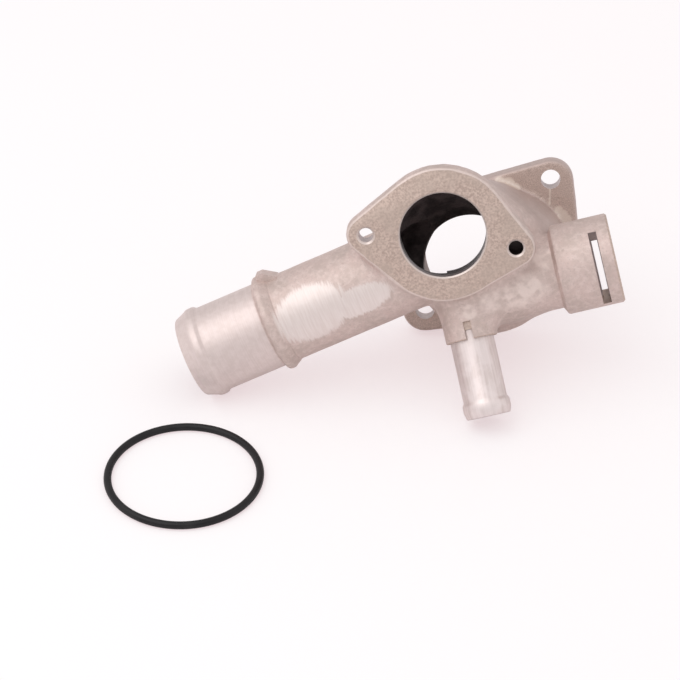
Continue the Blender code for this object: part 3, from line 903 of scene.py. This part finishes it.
def cast_material():
    finish = Finish("cast_aluminium", CAST_WARM, 0.55, 0.5)
    place = finish.place()
    x, y, z = finish.split(place)
    depth, angle, away = pipe_places(finish, place)
    blotch = finish.noise(place, 0.09, 3.0)
    mottle = finish.noise(place, 0.45, 3.0)
    grain = finish.noise(place, 1.3, 3.0)
    sand = finish.noise(place, 3.2, 2.0)

    colour = finish.blend(finish.fade(blotch, 0.38, 0.62), CAST_WARM, CAST_GREY)
    colour = finish.blend(finish.fade(mottle, 0.40, 0.72, 0.0, 0.6), colour, CAST_PALE)
    colour = finish.blend(finish.fade(grain, 0.30, 0.52, 0.45, 0.0), colour, CAST_DARK_GRAIN_AND_SHADE)
    # Bright places beside the socket: partly rubbed metal, partly a painted highlight
    rubbed_and_highlight = []
    for centre, radius in RUBBED_AND_HIGHLIGHT_SPOTS:
        rubbed_and_highlight.append(spot(finish, place, centre, radius, radius * 0.8))
    wear = finish.fade(finish.noise(place, 0.22, 3.0), 0.36, 0.62, 0.15, 0.8)
    worn_and_highlight = finish.math("MULTIPLY", grow_mask(finish, rubbed_and_highlight), wear)
    colour = finish.blend(worn_and_highlight, colour, RUBBED_AND_HIGHLIGHT)

    # Painted shade on the body under the outlet flange, blended towards the darkest cast tone
    shade_under_flange = finish.math(
        "MULTIPLY", finish.fade(z, *SHADE_UNDER_FLANGE_Z, 0.6, 0.0), finish.fade(y, *SHADE_UNDER_FLANGE_Y)
    )
    colour = finish.blend(shade_under_flange, colour, CAST_DARK_GRAIN_AND_SHADE)

    facing = finish.node("ShaderNodeNewGeometry").outputs["Normal"]
    up = PLACING.to_3x3() @ Vector(UP)
    level = finish.fade(finish.vector("DOT_PRODUCT", facing, tuple(up)), 0.80, 0.93)
    low = finish.fade(z, PLATE_TOP + 0.25, PLATE_TOP + 0.6, 1.0, 0.0)
    plate_face = finish.math("MULTIPLY", level, low)
    speckle = finish.blend(finish.fade(sand, 0.35, 0.65), PLATE_DARK, PLATE_LIGHT)
    colour = finish.blend(plate_face, colour, speckle)

    # Painted highlights where the engine plate meets the drum
    highlight_spots = []
    for centre, radius in HIGHLIGHT_SPOTS:
        highlight_spots.append(spot(finish, place, centre, radius, 1.6))
    painted_highlight = finish.fade(grow_mask(finish, highlight_spots), 0.0, 1.0, 0.0, 0.75)
    colour = finish.blend(painted_highlight, colour, BARE_METAL_AND_HIGHLIGHT)
    line = finish.fade(
        finish.math("ABSOLUTE", finish.math("SUBTRACT", x, WITNESS_X)), 0.2, 0.6, 0.7, 0.0
    )
    line = finish.math("MULTIPLY", line, finish.fade(y, WITNESS_FROM, WITNESS_FROM + 0.6))
    line = finish.math("MULTIPLY", line, finish.fade(y, WITNESS_TO, WITNESS_TO + 0.6, 1.0, 0.0))
    line = finish.math("MULTIPLY", line, plate_face)
    colour = finish.blend(line, colour, BARE_METAL_AND_HIGHLIGHT)

    stub = finish.math(
        "MULTIPLY",
        finish.fade(depth, COLLAR_START - 1.0, COLLAR_START, 1.0, 0.0),
        finish.fade(away, 24.0, 26.0, 1.0, 0.0),
    )
    rings = finish.noise(finish.merge(finish.math("MULTIPLY", depth, 2.2), angle, 0.0), 1.0, 4.0)
    clouds = finish.math("MULTIPLY", finish.math("ADD", rings, mottle), 0.5)
    stub_colour = finish.blend(finish.fade(clouds, 0.35, 0.65), TURNED_DARK, TURNED_LIGHT)
    colour = finish.blend(stub, colour, stub_colour)

    strokes = finish.noise(
        finish.merge(finish.math("MULTIPLY", depth, 1.3), finish.math("MULTIPLY", angle, 1.6), 0.0),
        1.0,
        3.0,
    )
    patch = ground_patch(finish, depth, angle, away, strokes)
    patch_colour = finish.blend(finish.fade(strokes, 0.3, 0.7), GROUND_DARK, GROUND_LIGHT)
    colour = finish.blend(patch, colour, patch_colour)

    # Painted highlight along the outlet flange's top edge
    from_outlet = finish.vector("DISTANCE", place, (*OUTLET_CENTRE, OUTLET_TOP))
    rim_highlight = finish.math(
        "MULTIPLY",
        finish.fade(z, OUTLET_TOP - 0.9, OUTLET_TOP - 0.3, 0.0, 0.5),
        finish.fade(from_outlet, 40.5, 42.0, 1.0, 0.0),
    )
    colour = finish.blend(rim_highlight, colour, EDGE_HIGHLIGHT)
    finish.use("Base Color", colour)

    rough = finish.fade(grain, 0.3, 0.7, 0.48, 0.62)
    rough = finish.mix(stub, rough, finish.fade(rings, 0.3, 0.7, 0.42, 0.50))
    rough = finish.mix(patch, rough, finish.fade(strokes, 0.3, 0.7, 0.44, 0.52))
    finish.use("Roughness", rough)

    raw = finish.math("SUBTRACT", 1.0, finish.math("MAXIMUM", stub, patch))
    skin = finish.math("ADD", grain, finish.math("MULTIPLY", sand, 0.5))
    rawness = finish.math("ADD", finish.math("MULTIPLY", raw, 0.85), 0.15)
    skin = finish.math("MULTIPLY", skin, rawness)
    holes = finish.fade(finish.pits(place, 0.28), 0.05, 0.22, 0.0, 1.0)
    holes = finish.math("MULTIPLY", finish.math("SUBTRACT", holes, 1.0), raw)
    holes = finish.math("ADD", holes, 1.0)
    height = finish.math("ADD", skin, finish.math("MULTIPLY", holes, 0.9))
    combed = finish.math("MULTIPLY", strokes, patch)
    height = finish.math("ADD", height, finish.math("MULTIPLY", combed, 0.25))
    height = finish.math("ADD", height, line)
    tooled = finish.math("MULTIPLY", rings, stub)
    height = finish.math("ADD", height, finish.math("MULTIPLY", tooled, 0.2))
    finish.use("Normal", finish.bump(height, 0.12))
    return finish.made


def faced_material():
    """The outlet face and the engine face: machined, then blasted to an even grain."""
    finish = Finish("faced_aluminium", FACE_LIGHT, 0.55, 0.5)
    place = finish.place()
    grain = finish.noise(place, 1.25, 4.0)
    sand = finish.noise(place, 4.5, 2.0)
    stain = finish.noise(place, 0.11, 3.0)
    colour = finish.blend(finish.fade(grain, 0.33, 0.67), FACE_DARK, FACE_LIGHT)
    colour = finish.blend(finish.fade(stain, 0.4, 0.65, 0.0, 0.5), colour, FACE_OLIVE)
    finish.use("Base Color", colour)
    finish.use("Roughness", finish.fade(grain, 0.3, 0.7, 0.45, 0.6))
    height = finish.math("ADD", grain, finish.math("MULTIPLY", sand, 0.5))
    finish.use("Normal", finish.bump(height, 0.06))
    return finish.made


def inner_material():
    """The cast ways for the coolant: raw and dull, with painted shade inside except near their
    openings.
    """
    finish = Finish("inner_aluminium", INNER_PAINTED_SHADE, 0.4, 0.65)
    place = finish.place()
    x, _, z = finish.split(place)
    depth, _, away = pipe_places(finish, place)
    stain = finish.noise(place, 0.15, 3.0)
    grain = finish.noise(place, 1.1, 3.0)
    # Painted shade deep in the ways, mottled by noise
    inner_shade = finish.blend(finish.fade(stain, 0.35, 0.65), INNER_PAINTED_SHADE, INNER_PAINTED_SHADE_PALE)
    pale = finish.blend(finish.fade(grain, 0.35, 0.65), INNER_OPEN, INNER_OPEN_PALE)
    in_pipe = finish.math(
        "MULTIPLY",
        finish.fade(depth, *PIPE_OPEN, 1.0, 0.0),
        finish.fade(away, PIPE_R, PIPE_R + 1.0, 1.0, 0.0),
    )
    near = grow_mask(
        finish,
        [finish.fade(z, *CHAMBER_OPEN, 1.0, 0.0), in_pipe, finish.fade(x, *SOCKET_OPEN)],
    )
    finish.use("Base Color", finish.blend(near, inner_shade, pale))
    finish.use("Roughness", finish.fade(grain, 0.3, 0.7, 0.55, 0.75))
    finish.use("Normal", finish.bump(grain, 0.16))
    return finish.made


def bored_material():
    """Bored walls with the tool's rings; the outlet's bore and the right hole's floor carry painted
    shade, black further in the bore.
    """
    finish = Finish("bored_aluminium", BORED, 0.6, 0.4)
    place = finish.place()
    x, y, z = finish.split(place)
    rings = finish.noise(finish.merge(0.0, 0.0, finish.math("MULTIPLY", z, 3.0)), 1.0, 3.0)
    wear = finish.noise(place, 0.5, 3.0)
    colour = finish.blend(finish.fade(wear, 0.35, 0.7), BORED, BORED_PALE)
    flat = finish.merge(x, y, 0.0)
    # Painted shade on the outlet bore's wall, turning black deeper in
    in_outlet = finish.math(
        "MULTIPLY",
        spot(finish, flat, (*OUTLET_CENTRE, 0.0), OUTLET_BORE_R + 1.5, 0.5),
        finish.fade(z, OUTLET_TOP - 14.0, OUTLET_TOP - 13.0),
    )
    colour = finish.blend(in_outlet, colour, OUTLET_WALL_SHADE)
    deep_shade = finish.fade(z, OUTLET_TOP - BORE_DARK_TO, OUTLET_TOP - BORE_DARK_FROM, 1.0, 0.0)
    colour = finish.blend(finish.math("MULTIPLY", deep_shade, in_outlet), colour, INNER_PAINTED_SHADE)
    # Painted shade on the floor of the right hole
    right_hole = (OUTLET_CENTRE[0] + OUTLET_RIGHT[0], OUTLET_CENTRE[1] + OUTLET_RIGHT[1], 0.0)
    in_hole = spot(finish, flat, right_hole, OUTLET_HOLE_R + 1.0, 0.5)
    below = finish.fade(z, OUTLET_TOP - 1.2, OUTLET_TOP - 0.9, 1.0, 0.0)
    colour = finish.blend(finish.math("MULTIPLY", in_hole, below), colour, INNER_PAINTED_SHADE)
    # Painted highlight on the chamfers at the outlet face
    lip_highlight = finish.fade(z, OUTLET_TOP - 0.9, OUTLET_TOP - 0.7, 0.0, 0.9)
    colour = finish.blend(lip_highlight, colour, EDGE_HIGHLIGHT)
    finish.use("Base Color", colour)
    finish.use("Roughness", finish.fade(rings, 0.3, 0.7, 0.3, 0.45))
    finish.use("Normal", finish.bump(rings, 0.05))
    return finish.made


def steel_material():
    """Drawn tube: fine lines along it."""
    finish = Finish("drawn_steel", STEEL, 0.7, 0.4)
    place = finish.place()
    x, y, z = finish.split(place)
    angle = finish.math("ARCTAN2", y, x)
    wide = finish.merge(finish.math("MULTIPLY", angle, 9.0), finish.math("MULTIPLY", z, 0.05), 0.0)
    lines = finish.noise(wide, 1.0, 4.0)
    cloud = finish.noise(place, 0.16, 3.0)
    colour = finish.blend(finish.fade(lines, 0.32, 0.68), STEEL_DARK, STEEL)
    colour = finish.blend(finish.fade(cloud, 0.4, 0.65, 0.0, 0.5), colour, STEEL_PALE)
    finish.use("Base Color", colour)
    rough = finish.math("ADD", finish.fade(lines, 0.3, 0.7, 0.34, 0.44),
                        finish.fade(cloud, 0.4, 0.7, 0.0, 0.08))
    finish.use("Roughness", rough)
    finish.use("Normal", finish.bump(lines, 0.05))
    return finish.made


def rubber_material():
    """Moulded rubber: nearly smooth, with a bloom that dulls it in places."""
    finish = Finish("black_rubber", RUBBER, 0.0, 0.42)
    finish.shader.inputs["Specular IOR Level"].default_value = RUBBER_SPECULAR
    place = finish.place()
    bloom = finish.noise(place, 0.12, 4.0)
    skin = finish.noise(place, 1.6, 3.0)
    finish.use("Base Color", finish.blend(finish.fade(bloom, 0.4, 0.7), RUBBER, RUBBER_BLOOM))
    finish.use("Roughness", finish.fade(bloom, 0.35, 0.65, 0.32, 0.52))
    finish.use("Normal", finish.bump(skin, 0.05))
    return finish.made


def placed_mesh(mesh, placing):
    """Writes where each point lies in the piece's own frame, then lays the mesh on the table."""
    places = mesh.attributes.new("place", "FLOAT_VECTOR", "POINT")
    for record, vertex in zip(places.data, mesh.vertices):
        record.vector = vertex.co / MM
    mesh.transform(placing)


def combined(made, operation, tools):
    """Joins or cuts made with tools, each (mesh, material index); a cut face takes its tool's."""
    kit = bpy.data.collections.new("tools")
    bpy.context.scene.collection.children.link(kit)
    for mesh, index in tools:
        for slot in made.data.materials:
            mesh.materials.append(slot)
        for face in mesh.polygons:
            face.material_index = index
        kit.objects.link(bpy.data.objects.new("tool", mesh))
    step = made.modifiers.new("combine", "BOOLEAN")
    step.operation = operation
    step.solver = "EXACT"
    step.operand_type = "COLLECTION"
    step.collection = kit
    settled(made)
    for tool in list(kit.objects):
        bpy.data.objects.remove(tool)
    bpy.data.collections.remove(kit)


def housing():
    made = rough_casting()
    for material in (cast_material(), faced_material(), inner_material(), bored_material()):
        made.data.materials.append(material)
    combined(made, "UNION", [(mesh, 0) for mesh in crisp_lumps()])
    combined(made, "DIFFERENCE", cutters())
    made.name = "cast_housing"
    placed_mesh(made.data, PLACING)
    made.data.shade_smooth()
    made.data.set_sharp_from_angle(angle=math.radians(CAST_CREASE))
    print("housing triangles", sum(len(f.vertices) - 2 for f in made.data.polygons))
    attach(made, "root")
    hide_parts("housing")


def bypass_tube():
    inner = TUBE_R - TUBE_WALL
    profile = [
        (inner + 0.2, TUBE_REACH),
        (TUBE_R - 0.2, TUBE_REACH),
        (TUBE_R + 0.1, TUBE_REACH - 0.3),
        (TUBE_BEAD_R - 0.15, TUBE_REACH - 2.2),
        (TUBE_BEAD_R, TUBE_REACH - 2.8),
        (TUBE_BEAD_R, TUBE_REACH - 5.6),
        (TUBE_BEAD_R - 0.2, TUBE_REACH - 6.2),
        (TUBE_R + 0.15, TUBE_REACH - 6.9),
        (TUBE_R, TUBE_REACH - 7.4),
        (TUBE_R, FIT_GAP - SEAT_DEPTH),
        (inner, FIT_GAP - SEAT_DEPTH),
        (inner, TUBE_REACH - 0.4),
    ]
    mesh = turned(profile)
    placed_mesh(mesh, PLACING @ along(BOSS_MOUTH, BOSS_AXIS))
    made = bpy.data.objects.new("steel_tube", mesh)
    bpy.context.scene.collection.objects.link(made)
    mesh.materials.append(steel_material())
    mesh.shade_smooth()
    mesh.set_sharp_from_angle(angle=math.radians(TUBE_CREASE))
    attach(made, "root")
    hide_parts("bypass_tube")


def sealing_ring():
    low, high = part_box("sealing_ring")
    section = RING_SECTION / 2
    circle = []
    for k in range(RING_FACETS):
        angle = math.tau * k / RING_FACETS
        circle.append((RING_R + section * math.cos(angle), section * math.sin(angle)))
    mesh = turned(circle, None, RING_STEPS)
    placed_mesh(mesh, Matrix.Translation((Vector(low) + Vector(high)) / 2))
    made = bpy.data.objects.new("rubber_ring", mesh)
    bpy.context.scene.collection.objects.link(made)
    mesh.materials.append(rubber_material())
    mesh.shade_smooth()
    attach(made, "root")
    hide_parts("sealing_ring")


def stage():
    """A pale table, a little brighter to the camera than the light makes it."""
    floor_mesh = bpy.data.meshes.new("floor")
    shape = bmesh.new()
    bmesh.ops.create_circle(shape, cap_ends=True, radius=FLOOR_R, segments=64)
    shape.to_mesh(floor_mesh)
    shape.free()
    floor = bpy.data.objects.new("floor", floor_mesh)
    bpy.context.scene.collection.objects.link(floor)
    finish = Finish("pale_table", FLOOR_COLOUR, 0.0, 0.8)
    finish.shader.inputs["Emission Color"].default_value = (*FLOOR_GLOW, 1)
    seen = finish.node("ShaderNodeLightPath").outputs["Is Camera Ray"]
    finish.use("Base Color", finish.blend(seen, FLOOR_COLOUR, FLOOR_SEEN))
    finish.use("Emission Strength", finish.math("MULTIPLY", seen, FLOOR_LIFT))
    floor_mesh.materials.append(finish.made)


def lights():
    """A tent of white light, darker where the camera looks in, and one softbox."""
    world = bpy.data.worlds.new("studio")
    bpy.context.scene.world = world
    world.use_nodes = True
    tree = world.node_tree
    back = tree.nodes["Background"]
    way = tree.nodes.new("ShaderNodeTexCoord").outputs["Generated"]
    toward = tree.nodes.new("ShaderNodeVectorMath")
    toward.operation = "DOT_PRODUCT"
    toward.inputs[1].default_value = tuple(Vector(OPENING).normalized())
    tree.links.new(way, toward.inputs[0])
    parts = []
    for low, high, start, end in (
        (*TENT_BACK_TURN, TENT_BACK, TENT),
        (*TENT_FRONT_TURN, 0.0, TENT_FRONT - TENT),
    ):
        ramp = tree.nodes.new("ShaderNodeMapRange")
        ramp.interpolation_type = "SMOOTHSTEP"
        for name, value in zip(("From Min", "From Max", "To Min", "To Max"), (low, high, start, end)):
            ramp.inputs[name].default_value = value
        tree.links.new(toward.outputs["Value"], ramp.inputs["Value"])
        parts.append(ramp.outputs["Result"])
    both = tree.nodes.new("ShaderNodeMath")
    both.operation = "ADD"
    for part, socket in zip(parts, both.inputs):
        tree.links.new(part, socket)
    seen = tree.nodes.new("ShaderNodeLightPath").outputs["Is Camera Ray"]
    whole = tree.nodes.new("ShaderNodeMath")
    whole.operation = "MAXIMUM"
    tree.links.new(both.outputs[0], whole.inputs[0])
    tree.links.new(seen, whole.inputs[1])
    tree.links.new(whole.outputs[0], back.inputs["Strength"])
    back.inputs["Color"].default_value = (*TENT_COLOUR, 1)
    lamp = bpy.data.lights.new("softbox", "AREA")
    lamp.shape = "RECTANGLE"
    lamp.size, lamp.size_y = SOFTBOX_SIZE
    lamp.energy = SOFTBOX_WATTS
    made = bpy.data.objects.new("softbox", lamp)
    made.location = SOFTBOX
    aim = Vector(SOFTBOX_AIM) - made.location
    made.rotation_euler = aim.to_track_quat("-Z", "Y").to_euler()
    bpy.context.scene.collection.objects.link(made)


def camera():
    eye = bpy.data.cameras.new("camera")
    eye.sensor_width = SENSOR
    eye.lens = SENSOR * FOCAL_PIXELS / FRAME_PIXELS
    made = bpy.data.objects.new("camera", eye)
    made.location = CAMERA
    made.rotation_euler = (math.radians(90 - LOOK_DOWN), 0.0, math.radians(LOOK_ASIDE))
    bpy.context.scene.collection.objects.link(made)
    bpy.context.scene.camera = made


bpy.context.scene.view_settings.view_transform = "Standard"
camera()
lights()
stage()
housing()
bypass_tube()
sealing_ring()
